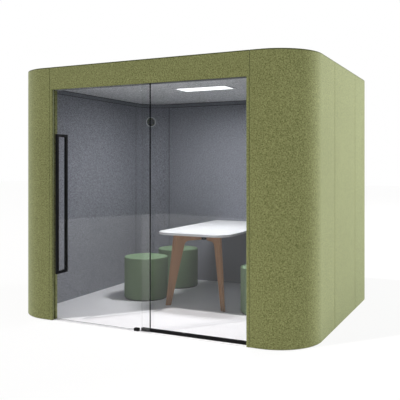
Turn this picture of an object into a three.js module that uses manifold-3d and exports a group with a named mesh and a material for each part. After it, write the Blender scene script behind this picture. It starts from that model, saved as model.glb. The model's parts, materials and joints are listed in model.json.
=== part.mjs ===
// Acoustic office pod: a felt-covered room with a sliding glass door, a table and four stools.
// Units are millimetres and +Z is up. The front faces -Y, and the origin is on the ground under the middle.

import * as THREE from 'three';
import { mergeVertices } from 'three/addons/utils/BufferGeometryUtils.js';
import Module from 'manifold-3d';

const wasm = await Module();
wasm.setup();

// Outer shell
const WIDTH = 2880;
const DEPTH = 2440;
const HEIGHT = 2300;
const CORNER_RADIUS = 385;
const CORNER_FRONT_FLAT = 80;
const CORNER_SIDE_FLAT = 430;
const HEADER_HEIGHT = 205;
const HEADER_BOARD = 12;
const JAMB_WIDTH = 27;

// Wall layers, from outside to inside
const PANEL = 40;
const CAVITY = 35;
const LINING = 25;
const LINING_FLAT = 15;
const SEAM_ROUND = 6;
const EDGE_ROUND = 4;
const FRAME_BAR = 50;

// Floor, ceiling and roof
const BASE_PLATE = 3;
const BASE_INSET = 6;
const THRESHOLD_INSET = 14;
const FLOOR_COVERING = 2;
const CEILING_DROP = 115;
const CEILING = 18;
const TRIM_HEIGHT = 47;
const TRIM = 12;
const ROOF = 16;
const ROOF_DROP = 14;

// Clearances: between seated faces, between moving pieces, and round a turning axle
const SEAT = 0.3;
const RUN_GAP = 2;
const AXLE_GAP = 0.1;

// Glass front
const GLASS = 10;
const GLASS_ARRIS = 1;
const FIXED_PANE_EDGE = -30;
const PANE_OVERLAP = 100;
const PANE_GROOVE = 14;
const CHANNEL_WALL = 5;
const CHANNEL_BASE = 6;
const CHANNEL_HEIGHT = 26;
const GASKET_GAP = 2;
const DOOR_FLOOR_GAP = 9;
const SEAL = 4;
const SEAL_GROOVE = 12;
const SEAL_WIDTH = 16;

// Door track, hangers and rollers
const TRACK_WIDTH = 42;
const TRACK_HEIGHT = 40;
const TRACK_WALL = 3;
const TRACK_SLOT = 14;
const TRACK_END_GAP = 3;
const CLAMP_PLATE = 6;
const CLAMP_LENGTH = 80;
const CLAMP_GRIP = 34;
const CLAMP_BRIDGE = 8;
const CLAMP_TRACK_GAP = 5;
const HANGER_FROM_EDGE = 150;
const HANGER_BOLT_RADIUS = 5;
const TROLLEY_LENGTH = 60;
const TROLLEY_WIDTH = 10;
const TROLLEY_HEIGHT = 14;
const ROLLER_RADIUS = 12;
const ROLLER_WIDTH = 8;
const ROLLER_SIDE_GAP = 0.6;
const AXLE_RADIUS = 3;

// Floor guide
const GUIDE_LENGTH = 45;
const GUIDE_HEIGHT = 24;
const GUIDE_BASE = 6;
const GUIDE_WALL = 7.5;
const GUIDE_GAP = 1.5;
const GUIDE_FROM_PANE = 35;

// Door handles
const HANDLE_FROM_EDGE = 82;
const HANDLE_BOTTOM = 434;
const HANDLE_LENGTH = 1255;
const HANDLE_REACH = 69.5;
const HANDLE_BAR = 24;
const HANDLE_ARM = 25;
const HANDLE_ROUND = 1.5;
const HANDLE_BOLT_RADIUS = 5;
const HANDLE_HOLE_GAP = 0.5;

// Ceiling light
const LIGHT_LENGTH = 540;
const LIGHT_WIDTH = 240;
const LIGHT_X = 28;
const LIGHT_Y = -53;
const LIGHT_LIP = 10;
const LIGHT_FLANGE = 8;
const LIGHT_FLANGE_THICKNESS = 3;
const TRAY_WALL = 2;
const TRAY_HEIGHT = 36;
const DIFFUSER = 3;
const DRIVER_LENGTH = 170;
const DRIVER_WIDTH = 46;
const DRIVER_HEIGHT = 30;
const DRIVER_FROM_TRAY = 60;
const DRIVER_ROUND = 6;

// Corner vent, its fan and the roof outlet
const VENT_DROP = 225;
const VENT_RADIUS = 64;
const VENT_BORE = 53;
const VENT_NECK = 5;
const VENT_FLANGE = 4;
const VENT_HOLE_GAP = 0.5;
const GRILLE = 3;
const GRILLE_RECESS = 1;
const GRILLE_RINGS = 2;
const GRILLE_SPOKES = 6;
const GRILLE_BAR = 3;
const GRILLE_HUB = 32;
const FAN_RADIUS = 58;
const FAN_WALL = 4.5;
const FAN_TIP_GAP = 1;
const FAN_MOTOR_RADIUS = 17;
const FAN_MOTOR_BASE = 4;
const FAN_STRUTS = 4;
const FAN_STRUT = 5;
const FAN_HUB_DEPTH = 15;
const FAN_BLADES = 7;
const FAN_BLADE = 1.8;
const FAN_BLADE_DEPTH = 11;
const FAN_BLADE_SWEEP = 34;
const FAN_BLADE_TWIST = 6;
const OUTLET_RADIUS = 78;
const OUTLET_HOLE = 60;
const OUTLET_FLANGE = 4;
const OUTLET_NECK = 4;
const OUTLET_SLOTS = 5;
const OUTLET_SLOT = 10;
const OUTLET_BAR = 8;

// Table, fixed to the back wall and carried in front by two legs
const TABLE_WIDTH = 794;
const TABLE_LENGTH = 1510;
const TABLE_HEIGHT = 745;
const TABLE_TOP = 24;
const TABLE_CORNER = 170;
const TABLE_EDGE_ROUND = 5;
const TABLE_X = 15;
const LEG = 24;
const LEG_ANGLE = 38;
const LEG_SIDE_INSET = 139;
const LEG_END_INSET = 178;
const LEG_SPLAY = 80;
const LEG_FOOT = 52;
const LEG_SHOULDER = 118;
const LEG_ARM_DEPTH = 78;
const LEG_ARM_TIP = 70;
const LEG_ARM_GAP = 44;
const LEG_FILLET = 42;
const LEG_ROUND = 2;
const HUB_WIDTH = 30;
const HUB_PLATE = 5;
const HUB_PLATE_WIDTH = 96;
const HUB_PLATE_DEPTH = 74;
const HUB_PLATE_CORNER = 8;
const WALL_ANGLE_LENGTH = 620;
const WALL_ANGLE_FLANGE = 45;
const WALL_ANGLE_PLATE = 4;

// Stools, placed from the table's middle
const STOOL_RADIUS = 232;
const STOOL_HEIGHT = 444;
const STOOL_EDGE = 8;
const STOOL_CROWN = 6;
const STOOL_PLINTH_INSET = 12;
const STOOL_PLINTH_HEIGHT = 9;
const STOOL_TABLE_GAP = 61;
const STOOL_FRONT_LEFT_Y = -373;
const STOOL_FRONT_RIGHT_Y = -474;
const STOOL_BACK_Y = 347;

// Smoothness of round forms
const CORNER_STEPS = 24;
const TABLE_STEPS = 8;
const ROUND_STEPS = 3;
const HOLE_STEPS = 12;
const AXLE_STEPS = 24;
const LATHE_STEPS = 36;
const RING_STEPS = 32;
const BEVEL_STEPS = 2;
const WELD_TOLERANCE = 1e-4;

// How far a cutter runs past the face it opens
const OVERCUT = 1;

// Places worked out from the sizes above
const halfWidth = WIDTH / 2;
const halfDepth = DEPTH / 2;
const liningOffset = PANEL + CAVITY;
const wall = liningOffset + LINING;
const arcX = halfWidth - CORNER_RADIUS;
const arcY = halfDepth - CORNER_RADIUS;
const portalHalf = arcX - CORNER_FRONT_FLAT;
const openingHalf = portalHalf - JAMB_WIDTH;
const openingTop = HEIGHT - HEADER_HEIGHT;
const sideSeam = arcY - CORNER_SIDE_FLAT;
const wallBottom = BASE_PLATE + SEAT;
const floorTop = wallBottom + FLOOR_COVERING;
const roofTop = HEIGHT - ROOF_DROP;
const roofBottom = roofTop - ROOF;
const frameTop = roofBottom - SEAT;
const ceilingBottom = HEIGHT - CEILING_DROP;
const ceilingTop = ceilingBottom + CEILING;
const trimBottom = ceilingBottom - TRIM_HEIGHT;
const liningTop = trimBottom - SEAT;
const liningFront = portalHalf;
const beamBottom = ceilingBottom + SEAT;
const headerBack = -halfDepth + HEADER_BOARD;

const channelHalf = GLASS / 2 + GASKET_GAP + CHANNEL_WALL;
const clampHalf = GLASS / 2 + CLAMP_PLATE;
const doorY = headerBack + SEAT + RUN_GAP / 2 + TRACK_WIDTH / 2;
const fixedY = doorY + clampHalf + RUN_GAP + channelHalf;
const trackTop = beamBottom - SEAT;
const trackBottom = trackTop - TRACK_HEIGHT;
const clampTop = trackBottom - CLAMP_TRACK_GAP;
const doorTop = clampTop - CLAMP_BRIDGE - SEAT;
const doorBottom = BASE_PLATE + DOOR_FLOOR_GAP;
const doorLeft = -openingHalf - SEAL_GROOVE + SEAL + 2 * SEAT;
const doorRight = FIXED_PANE_EDGE + PANE_OVERLAP;
const axleZ = trackBottom + TRACK_WALL + SEAT + ROLLER_RADIUS;
const handleX = -openingHalf + HANDLE_FROM_EDGE;
const handleTop = HANDLE_BOTTOM + HANDLE_LENGTH;

const tableBack = halfDepth - wall - SEAT;
const tableY = tableBack - TABLE_LENGTH / 2;
const tableTop = floorTop + TABLE_HEIGHT;
const tableUnderside = tableTop - TABLE_TOP;
const stoolX = TABLE_WIDTH / 2 + STOOL_TABLE_GAP + STOOL_RADIUS;

// Colour, roughness and metalness of each finish
const FINISHES = {
  greenFelt: [0x8c9a55, 0.95, 0],
  greyFelt: [0x6f747c, 0.95, 0],
  paleFelt: [0x85888e, 0.95, 0],
  trimFelt: [0x4e5156, 0.95, 0],
  paleFloor: [0xb9bbbd, 0.7, 0],
  steel: [0x8b8f92, 0.5, 0.9],
  insulation: [0xc9c2a4, 1, 0],
  blackMetal: [0x17181a, 0.45, 0.4],
  aluminium: [0xb8bcc0, 0.4, 0.9],
  glass: [0xdfe9e8, 0.05, 0],
  rubber: [0x202123, 0.85, 0],
  whiteMetal: [0xeeeeec, 0.5, 0.1],
  diffuser: [0xffffff, 0.4, 0],
  darkPlastic: [0x2b2d30, 0.6, 0],
  palePlastic: [0x8f9499, 0.5, 0],
  greyPlastic: [0x55585c, 0.6, 0],
  roofBoard: [0x55585c, 0.9, 0],
  whiteTop: [0xf4f4f4, 0.35, 0],
  wood: [0x8a6244, 0.55, 0],
  stoolFelt: [0x6d8a66, 0.95, 0],
};

const pod = new THREE.Group();

function add(name, geometry, finish, parent = pod) {
  const [color, roughness, metalness] = FINISHES[finish];
  const material = new THREE.MeshStandardMaterial({ color, roughness, metalness });
  const mesh = new THREE.Mesh(weld(geometry), material);
  mesh.name = name;
  parent.add(mesh);
  return mesh;
}

// Keeps positions only, merges shared vertices and drops the flat triangles at a lathe's poles.
function weld(geometry) {
  const bare = new THREE.BufferGeometry();
  bare.setAttribute('position', geometry.getAttribute('position'));
  bare.setIndex(geometry.getIndex());
  const merged = mergeVertices(bare, WELD_TOLERANCE);
  const corners = merged.getIndex().array;
  const kept = [];
  for (let i = 0; i < corners.length; i += 3) {
    const [a, b, c] = corners.slice(i, i + 3);
    if (a !== b && b !== c && c !== a) kept.push(a, b, c);
  }
  merged.setIndex(kept);
  return merged;
}

function solid(geometry) {
  const welded = weld(geometry);
  return new wasm.Manifold(new wasm.Mesh({
    numProp: 3,
    vertProperties: new Float32Array(welded.getAttribute('position').array),
    triVerts: new Uint32Array(welded.getIndex().array),
  }));
}

function surface(manifold) {
  const mesh = manifold.getMesh();
  const geometry = new THREE.BufferGeometry();
  geometry.setAttribute('position', new THREE.BufferAttribute(mesh.vertProperties, 3));
  geometry.setIndex(new THREE.BufferAttribute(mesh.triVerts, 1));
  return geometry;
}

function join(first, ...others) {
  return surface(others.reduce((sum, other) => sum.add(solid(other)), solid(first)));
}

function cut(body, ...cutters) {
  return surface(cutters.reduce((rest, cutter) => rest.subtract(solid(cutter)), solid(body)));
}

// Outlines

function arc(centreX, centreY, radius, fromDegrees, toDegrees, steps) {
  const points = [];
  for (let i = 0; i <= steps; i += 1) {
    const angle = THREE.MathUtils.degToRad(fromDegrees + ((toDegrees - fromDegrees) * i) / steps);
    points.push([centreX + radius * Math.cos(angle), centreY + radius * Math.sin(angle)]);
  }
  return points;
}

// A full circle, without repeating its first point.
function circle(centreX, centreY, radius, steps) {
  return arc(centreX, centreY, radius, 0, 360 - 360 / steps, steps - 1);
}

function vectors(points, sideX = 1, sideY = 1) {
  return points.map(([x, y]) => new THREE.Vector2(x * sideX, y * sideY));
}

function outline(points, sideX = 1, sideY = 1) {
  return new THREE.Shape(vectors(points, sideX, sideY));
}

function rectangle(left, low, right, high) {
  return [[left, low], [right, low], [right, high], [left, high]];
}

function roundedRectangle(halfX, halfY, radius, steps) {
  const x = halfX - radius;
  const y = halfY - radius;
  return [
    ...arc(x, y, radius, 0, 90, steps),
    ...arc(-x, y, radius, 90, 180, steps),
    ...arc(-x, -y, radius, 180, 270, steps),
    ...arc(x, -y, radius, 270, 360, steps),
  ];
}

function podOutline(offset) {
  return roundedRectangle(halfWidth - offset, halfDepth - offset, CORNER_RADIUS - offset, CORNER_STEPS);
}

function withHole(points, hole) {
  const shape = outline(points);
  shape.holes.push(new THREE.Path(vectors(hole)));
  return shape;
}

// Extrusions along Z, X and Y, with their rims rounded off where asked

function extrude(shape, length, round) {
  const geometry = new THREE.ExtrudeGeometry(shape, {
    depth: length - 2 * round,
    bevelEnabled: round > 0,
    bevelThickness: round,
    bevelSize: round,
    bevelOffset: -round,
    bevelSegments: BEVEL_STEPS,
    steps: 1,
  });
  return geometry.translate(0, 0, round);
}

function upright(shape, bottom, top, round = 0) {
  return extrude(shape, top - bottom, round).translate(0, 0, bottom);
}

const AXIS_X = new THREE.Vector3(1, 0, 0);
const AXIS_Y = new THREE.Vector3(0, 1, 0);
const AXIS_Z = new THREE.Vector3(0, 0, 1);
const ALONG_X = new THREE.Matrix4().makeBasis(AXIS_Y, AXIS_Z, AXIS_X);
const ALONG_Y = new THREE.Matrix4().makeBasis(AXIS_X, AXIS_Z, AXIS_Y.clone().negate());

// A section drawn in Y and Z, running from left to right.
function lengthwise(shape, left, right, round = 0) {
  return extrude(shape, right - left, round).applyMatrix4(ALONG_X).translate(left, 0, 0);
}

// A face drawn in X and Z, between two depths.
function facing(shape, front, back, round = 0) {
  return extrude(shape, back - front, round).applyMatrix4(ALONG_Y).translate(0, back, 0);
}

function block(left, front, bottom, right, back, top) {
  const box = new THREE.BoxGeometry(right - left, back - front, top - bottom);
  return box.translate((left + right) / 2, (front + back) / 2, (bottom + top) / 2);
}

function turned(profile, steps) {
  return new THREE.LatheGeometry(vectors(profile), steps).rotateX(Math.PI / 2);
}

function rod(radius, bottom, top, steps = AXLE_STEPS) {
  return turned([[0, bottom], [radius, bottom], [radius, top], [0, top]], steps);
}

// Walls

// A wall piece that wraps one corner, between two offsets from the outer face, with its outer ends rounded.
function cornerWall(sideX, sideY, outer, inner, endX, endY, round) {
  const outerRadius = CORNER_RADIUS - outer;
  const innerRadius = CORNER_RADIUS - inner;
  const faceX = halfWidth - outer;
  const faceY = halfDepth - outer;
  const points = [
    [endX, halfDepth - inner],
    ...arc(endX + round, faceY - round, round, 180, 90, ROUND_STEPS),
    ...arc(arcX, arcY, outerRadius, 90, 0, CORNER_STEPS),
    ...arc(faceX - round, endY + round, round, 0, -90, ROUND_STEPS),
    [halfWidth - inner, endY],
    ...arc(arcX, arcY, innerRadius, 0, 90, CORNER_STEPS),
  ];
  return outline(points, sideX, sideY);
}

// The inner face of a lining is the one that shows, so its ends are rounded there instead.
function cornerLining(sideX, sideY, endX, endY) {
  const outer = liningOffset + SEAT;
  const faceX = halfWidth - wall;
  const faceY = halfDepth - wall;
  const points = [
    ...arc(endX + EDGE_ROUND, faceY + EDGE_ROUND, EDGE_ROUND, 270, 180, ROUND_STEPS),
    [endX, halfDepth - outer],
    ...arc(arcX, arcY, CORNER_RADIUS - outer, 90, 0, CORNER_STEPS),
    [halfWidth - outer, endY],
    ...arc(faceX + EDGE_ROUND, endY + EDGE_ROUND, EDGE_ROUND, 270, 180, ROUND_STEPS),
    ...arc(arcX, arcY, CORNER_RADIUS - wall, 0, 90, CORNER_STEPS),
  ];
  return outline(points, sideX, sideY);
}

// A flat panel whose face looks along +Y at y = 0, with the face's two upright edges rounded.
function flatPanel(length, thickness, round, bottom, top) {
  const half = length / 2;
  const points = [
    [-half, -thickness],
    [half, -thickness],
    ...arc(half - round, -round, round, 0, 90, ROUND_STEPS),
    ...arc(-half + round, -round, round, 90, 180, ROUND_STEPS),
  ];
  return upright(outline(points), bottom, top, EDGE_ROUND);
}

const FACING_BACK = 0;
const FACING_LEFT = Math.PI / 2;
const FACING_FRONT = Math.PI;
const FACING_RIGHT = -Math.PI / 2;

function buildOuterPanels() {
  const corners = { front_left: [-1, -1], front_right: [1, -1], back_left: [-1, 1], back_right: [1, 1] };
  for (const [place, [sideX, sideY]] of Object.entries(corners)) {
    const plan = cornerWall(sideX, sideY, 0, PANEL, portalHalf + SEAT, sideSeam + SEAT, SEAM_ROUND);
    add(`${place}_corner_panel`, upright(plan, wallBottom, HEIGHT, EDGE_ROUND), 'greenFelt');
  }
  const side = flatPanel(2 * sideSeam, PANEL, SEAM_ROUND, wallBottom, HEIGHT);
  add('left_side_panel', side.clone().rotateZ(FACING_LEFT).translate(-halfWidth, 0, 0), 'greenFelt');
  add('right_side_panel', side.clone().rotateZ(FACING_RIGHT).translate(halfWidth, 0, 0), 'greenFelt');
  const back = flatPanel(2 * portalHalf, PANEL, SEAM_ROUND, wallBottom, HEIGHT);
  add('back_panel', back.rotateZ(FACING_BACK).translate(0, halfDepth, 0), 'greenFelt');
  const header = flatPanel(2 * portalHalf, HEADER_BOARD, SEAM_ROUND, openingTop, HEIGHT);
  add('header_panel', header.rotateZ(FACING_FRONT).translate(0, -halfDepth, 0), 'greenFelt');
}

// A jamb of the opening, with an upright groove in the side that faces the opening.
function jamb(side, grooveY, grooveWidth, grooveDepth) {
  const front = -halfDepth;
  const back = front + liningOffset - SEAT;
  const outer = portalHalf - SEAT;
  const points = [
    [openingHalf, back],
    [openingHalf, grooveY + grooveWidth / 2],
    [openingHalf + grooveDepth, grooveY + grooveWidth / 2],
    [openingHalf + grooveDepth, grooveY - grooveWidth / 2],
    [openingHalf, grooveY - grooveWidth / 2],
    ...arc(openingHalf + SEAM_ROUND, front + SEAM_ROUND, SEAM_ROUND, 180, 270, ROUND_STEPS),
    ...arc(outer - SEAM_ROUND, front + SEAM_ROUND, SEAM_ROUND, 270, 360, ROUND_STEPS),
    [outer, back],
  ];
  return upright(outline(points, side, 1), wallBottom, openingTop - SEAT);
}

function buildPortal() {
  add('left_jamb', jamb(-1, doorY, SEAL_WIDTH + 2 * SEAT, SEAL_GROOVE), 'greenFelt');
  add('right_jamb', jamb(1, fixedY, GLASS + 2 * GASKET_GAP, PANE_GROOVE), 'greenFelt');
  const sealLeft = -openingHalf - SEAL_GROOVE + SEAT;
  const sealHalf = SEAL_WIDTH / 2;
  const sealRight = sealLeft + SEAL;
  const sealTop = openingTop - SEAT;
  const seal = block(sealLeft, doorY - sealHalf, doorBottom, sealRight, doorY + sealHalf, sealTop);
  add('door_seal', seal, 'rubber');
  const fasciaHalf = liningFront - SEAT;
  const fascia = outline(rectangle(-fasciaHalf, openingTop, fasciaHalf, liningTop));
  add('header_fascia', facing(fascia, fixedY + channelHalf + SEAT, wall - halfDepth, EDGE_ROUND), 'greyFelt');
}

function buildLinings() {
  const seamX = arcX - LINING_FLAT;
  const seamY = arcY - LINING_FLAT;
  const lining = (sideX, sideY, endX) => (
    upright(cornerLining(sideX, sideY, endX, seamY), wallBottom, liningTop)
  );
  add('front_left_lining', lining(-1, -1, liningFront), 'greyFelt');
  add('front_right_lining', lining(1, -1, liningFront), 'greyFelt');
  const ventHole = rod(VENT_BORE + VENT_NECK + VENT_HOLE_GAP, 0, CORNER_RADIUS).applyMatrix4(ventPlace());
  add('back_left_lining', cut(lining(-1, 1, seamX), ventHole), 'greyFelt');
  add('back_right_lining', lining(1, 1, seamX), 'greyFelt');
  const thickness = LINING - SEAT;
  const side = flatPanel(2 * (seamY - SEAT), thickness, SEAM_ROUND, wallBottom, liningTop);
  add('left_lining', side.clone().rotateZ(FACING_RIGHT).translate(wall - halfWidth, 0, 0), 'greyFelt');
  add('right_lining', side.clone().rotateZ(FACING_LEFT).translate(halfWidth - wall, 0, 0), 'greyFelt');
  const back = flatPanel(2 * (seamX - SEAT), thickness, SEAM_ROUND, wallBottom, liningTop);
  add('back_lining', back.rotateZ(FACING_FRONT).translate(0, halfDepth - wall, 0), 'greyFelt');
}

// Frames and acoustic cores in the wall cavity

function frameWindow(halfLength, gap) {
  const half = halfLength - FRAME_BAR - gap;
  return rectangle(-half, wallBottom + FRAME_BAR + gap, half, frameTop - FRAME_BAR - gap);
}

function buildFrames() {
  const near = PANEL + SEAT;
  const far = liningOffset - SEAT;
  const frame = (half) => withHole(rectangle(-half, wallBottom, half, frameTop), frameWindow(half, 0));
  const core = (half) => outline(frameWindow(half, SEAT));
  const sideHalf = sideSeam + FRAME_BAR / 2;
  const backHalf = portalHalf + FRAME_BAR / 2;
  add('left_frame', lengthwise(frame(sideHalf), near - halfWidth, far - halfWidth), 'steel');
  add('left_core', lengthwise(core(sideHalf), near - halfWidth, far - halfWidth), 'insulation');
  add('right_frame', lengthwise(frame(sideHalf), halfWidth - far, halfWidth - near), 'steel');
  add('right_core', lengthwise(core(sideHalf), halfWidth - far, halfWidth - near), 'insulation');
  add('back_frame', facing(frame(backHalf), halfDepth - far, halfDepth - near), 'steel');
  add('back_core', facing(core(backHalf), halfDepth - far, halfDepth - near), 'insulation');

  const postInner = portalHalf + SEAT;
  const postOuter = postInner + FRAME_BAR;
  const front = near - halfDepth;
  const back = far - halfDepth;
  const post = (left) => block(left, front, wallBottom, left + FRAME_BAR, back, frameTop);
  const beam = block(-postOuter, front, beamBottom, postOuter, back, frameTop);
  const beamHalf = portalHalf - SEAT;
  const beamNose = block(-beamHalf, headerBack + SEAT, beamBottom, beamHalf, back, frameTop);
  add('front_frame', join(post(-postOuter), post(postInner), beam, beamNose), 'steel');
}

function buildFloorAndRoof() {
  const front = BASE_INSET - halfDepth;
  const step = THRESHOLD_INSET - halfDepth;
  const threshold = [[-openingHalf, front], [-openingHalf, step], [openingHalf, step], [openingHalf, front]];
  const plate = podOutline(BASE_INSET);
  plate.splice(3 * (CORNER_STEPS + 1), 0, ...threshold);
  add('base_plate', upright(outline(plate), 0, BASE_PLATE), 'paleFloor');

  const tongueHalf = openingHalf - SEAT;
  const tongueFront = fixedY + channelHalf + SEAT;
  const coveringFront = wall + SEAT - halfDepth;
  const tongue = rectangle(-tongueHalf, tongueFront, tongueHalf, coveringFront);
  const covering = podOutline(wall + SEAT);
  const [tongueLeft, tongueRight, rightInside, leftInside] = tongue;
  covering.splice(3 * (CORNER_STEPS + 1), 0, leftInside, tongueLeft, tongueRight, rightInside);
  add('floor_covering', upright(outline(covering), wallBottom, floorTop), 'paleFloor');

  const trim = withHole(podOutline(liningOffset + SEAT), podOutline(liningOffset + SEAT + TRIM));
  add('ceiling_trim', upright(trim, trimBottom, ceilingBottom - SEAT), 'trimFelt');

  const trayX = trayHalfX() + SEAT;
  const trayY = trayHalfY() + SEAT;
  const lightCut = rectangle(LIGHT_X - trayX, LIGHT_Y - trayY, LIGHT_X + trayX, LIGHT_Y + trayY);
  const ceiling = withHole(podOutline(liningOffset + SEAT), lightCut);
  add('ceiling_panel', upright(ceiling, ceilingBottom, ceilingTop), 'paleFelt');

  const outletHole = circle(-arcX, arcY, OUTLET_HOLE, RING_STEPS);
  const roof = withHole(podOutline(PANEL + SEAT), outletHole);
  add('roof_panel', upright(roof, roofBottom, roofTop), 'roofBoard');
}

// Glass front

function channel(height, openUp, low) {
  const slotHalf = channelHalf - CHANNEL_WALL;
  const section = [
    [-channelHalf, 0], [channelHalf, 0], [channelHalf, height], [slotHalf, height],
    [slotHalf, CHANNEL_BASE], [-slotHalf, CHANNEL_BASE], [-slotHalf, height], [-channelHalf, height],
  ];
  const turn = openUp ? 1 : -1;
  const points = section.map(([y, z]) => [fixedY + y, low + (openUp ? 0 : height) + turn * z]);
  return lengthwise(outline(points), FIXED_PANE_EDGE, openingHalf - SEAT);
}

function buildFixedPane() {
  const topLow = openingTop + RUN_GAP;
  add('bottom_channel', channel(CHANNEL_HEIGHT, true, wallBottom), 'blackMetal');
  add('top_channel', channel(CHANNEL_HEIGHT, false, topLow), 'blackMetal');
  const low = wallBottom + CHANNEL_BASE + SEAT;
  const high = topLow + CHANNEL_HEIGHT - CHANNEL_BASE - SEAT;
  const right = openingHalf + PANE_GROOVE - GASKET_GAP;
  const face = outline(rectangle(FIXED_PANE_EDGE, low, right, high));
  add('fixed_glass', facing(face, fixedY - GLASS / 2, fixedY + GLASS / 2, GLASS_ARRIS), 'glass');
}

function buildTrack() {
  const half = TRACK_WIDTH / 2;
  const inner = half - TRACK_WALL;
  const slot = TRACK_SLOT / 2;
  const lip = trackBottom + TRACK_WALL;
  const roof = trackTop - TRACK_WALL;
  const section = [
    [-half, trackBottom], [-slot, trackBottom], [-slot, lip], [-inner, lip], [-inner, roof], [inner, roof],
    [inner, lip], [slot, lip], [slot, trackBottom], [half, trackBottom], [half, trackTop], [-half, trackTop],
  ];
  const end = openingHalf - TRACK_END_GAP;
  add('door_track', lengthwise(outline(section.map(([y, z]) => [doorY + y, z])), -end, end), 'aluminium');

  const guideHalf = GLASS / 2 + GUIDE_GAP + GUIDE_WALL;
  const guideSlot = GLASS / 2 + GUIDE_GAP;
  const top = wallBottom + GUIDE_HEIGHT;
  const base = wallBottom + GUIDE_BASE;
  const guide = [
    [-guideHalf, wallBottom], [guideHalf, wallBottom], [guideHalf, top], [guideSlot, top],
    [guideSlot, base], [-guideSlot, base], [-guideSlot, top], [-guideHalf, top],
  ];
  const guideX = FIXED_PANE_EDGE - GUIDE_FROM_PANE;
  const guideSection = outline(guide.map(([y, z]) => [doorY + y, z]));
  const guideLeft = guideX - GUIDE_LENGTH / 2;
  add('floor_guide', lengthwise(guideSection, guideLeft, guideLeft + GUIDE_LENGTH), 'blackMetal');
}

// Sliding door

function handleBoltHeights() {
  return [HANDLE_BOTTOM + HANDLE_ARM / 2, handleTop - HANDLE_ARM / 2];
}

function buildDoorGlass() {
  const face = outline(rectangle(doorLeft, doorBottom, doorRight, doorTop));
  const holeRadius = HANDLE_BOLT_RADIUS + HANDLE_HOLE_GAP;
  for (const height of handleBoltHeights()) {
    face.holes.push(new THREE.Path(vectors(circle(handleX, height, holeRadius, HOLE_STEPS))));
  }
  add('door_glass', facing(face, doorY - GLASS / 2, doorY + GLASS / 2), 'glass');
}

// One pull of the back-to-back pair: an upright bar on two arms that stand on the glass.
function handlePull(side) {
  const foot = GLASS / 2 + SEAT;
  const outer = GLASS / 2 + HANDLE_REACH;
  const inner = outer - HANDLE_BAR;
  const section = [
    [foot, HANDLE_BOTTOM], [outer, HANDLE_BOTTOM], [outer, handleTop], [foot, handleTop],
    [foot, handleTop - HANDLE_ARM], [inner, handleTop - HANDLE_ARM],
    [inner, HANDLE_BOTTOM + HANDLE_ARM], [foot, HANDLE_BOTTOM + HANDLE_ARM],
  ];
  const shape = outline(section.map(([y, z]) => [doorY + side * y, z]));
  return lengthwise(shape, handleX - HANDLE_BAR / 2, handleX + HANDLE_BAR / 2, HANDLE_ROUND);
}

function buildHandles() {
  const boltRoot = doorY - GLASS / 2 - HANDLE_BAR;
  const boltEnd = doorY + GLASS / 2;
  const bolt = rod(HANDLE_BOLT_RADIUS, -boltEnd, -boltRoot, HOLE_STEPS).rotateX(Math.PI / 2);
  const bolts = handleBoltHeights().map((height) => bolt.clone().translate(handleX, 0, height));
  add('outer_handle', join(handlePull(-1), ...bolts), 'blackMetal');
  add('inner_handle', handlePull(1), 'blackMetal');
}

// A clamp on the top edge of the glass, hung by a bolt from a trolley that runs in the track.
function hanger(x) {
  const clampLow = doorTop - CLAMP_GRIP;
  const left = x - CLAMP_LENGTH / 2;
  const right = x + CLAMP_LENGTH / 2;
  const slotHalf = GLASS / 2 + SEAT;
  const clamp = cut(
    block(left, doorY - clampHalf, clampLow, right, doorY + clampHalf, clampTop),
    block(
      left - OVERCUT, doorY - slotHalf, clampLow - OVERCUT,
      right + OVERCUT, doorY + slotHalf, doorTop + SEAT,
    ),
  );
  const boltTop = axleZ - TROLLEY_HEIGHT / 4;
  const bolt = rod(HANGER_BOLT_RADIUS, clampTop - CLAMP_BRIDGE / 2, boltTop, HOLE_STEPS);
  const trolley = block(
    x - TROLLEY_LENGTH / 2, doorY - TROLLEY_WIDTH / 2, axleZ - TROLLEY_HEIGHT / 2,
    x + TROLLEY_LENGTH / 2, doorY + TROLLEY_WIDTH / 2, axleZ + TROLLEY_HEIGHT / 2,
  );
  const bore = rod(AXLE_RADIUS + AXLE_GAP, -TROLLEY_WIDTH, TROLLEY_WIDTH).rotateX(Math.PI / 2);
  const hung = join(clamp, bolt.translate(x, doorY, 0), trolley);
  return cut(hung, bore.translate(x, doorY, axleZ));
}

// Two wheels on one axle, turning together.
function rollerSet(x) {
  const near = TROLLEY_WIDTH / 2 + ROLLER_SIDE_GAP;
  const far = near + ROLLER_WIDTH;
  const profile = [
    [0, -far], [ROLLER_RADIUS, -far], [ROLLER_RADIUS, -near], [AXLE_RADIUS, -near],
    [AXLE_RADIUS, near], [ROLLER_RADIUS, near], [ROLLER_RADIUS, far], [0, far],
  ];
  return turned(profile, AXLE_STEPS).rotateX(Math.PI / 2).translate(x, doorY, axleZ);
}

function buildHangers() {
  const places = { left: doorLeft + HANGER_FROM_EDGE, right: doorRight - HANGER_FROM_EDGE };
  for (const [place, x] of Object.entries(places)) {
    add(`${place}_hanger`, hanger(x), 'steel');
    add(`${place}_rollers`, rollerSet(x), 'darkPlastic');
  }
}

// Ceiling light

function trayHalfX() {
  return LIGHT_LENGTH / 2 + LIGHT_LIP + TRAY_WALL;
}

function trayHalfY() {
  return LIGHT_WIDTH / 2 + LIGHT_LIP + TRAY_WALL;
}

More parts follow.
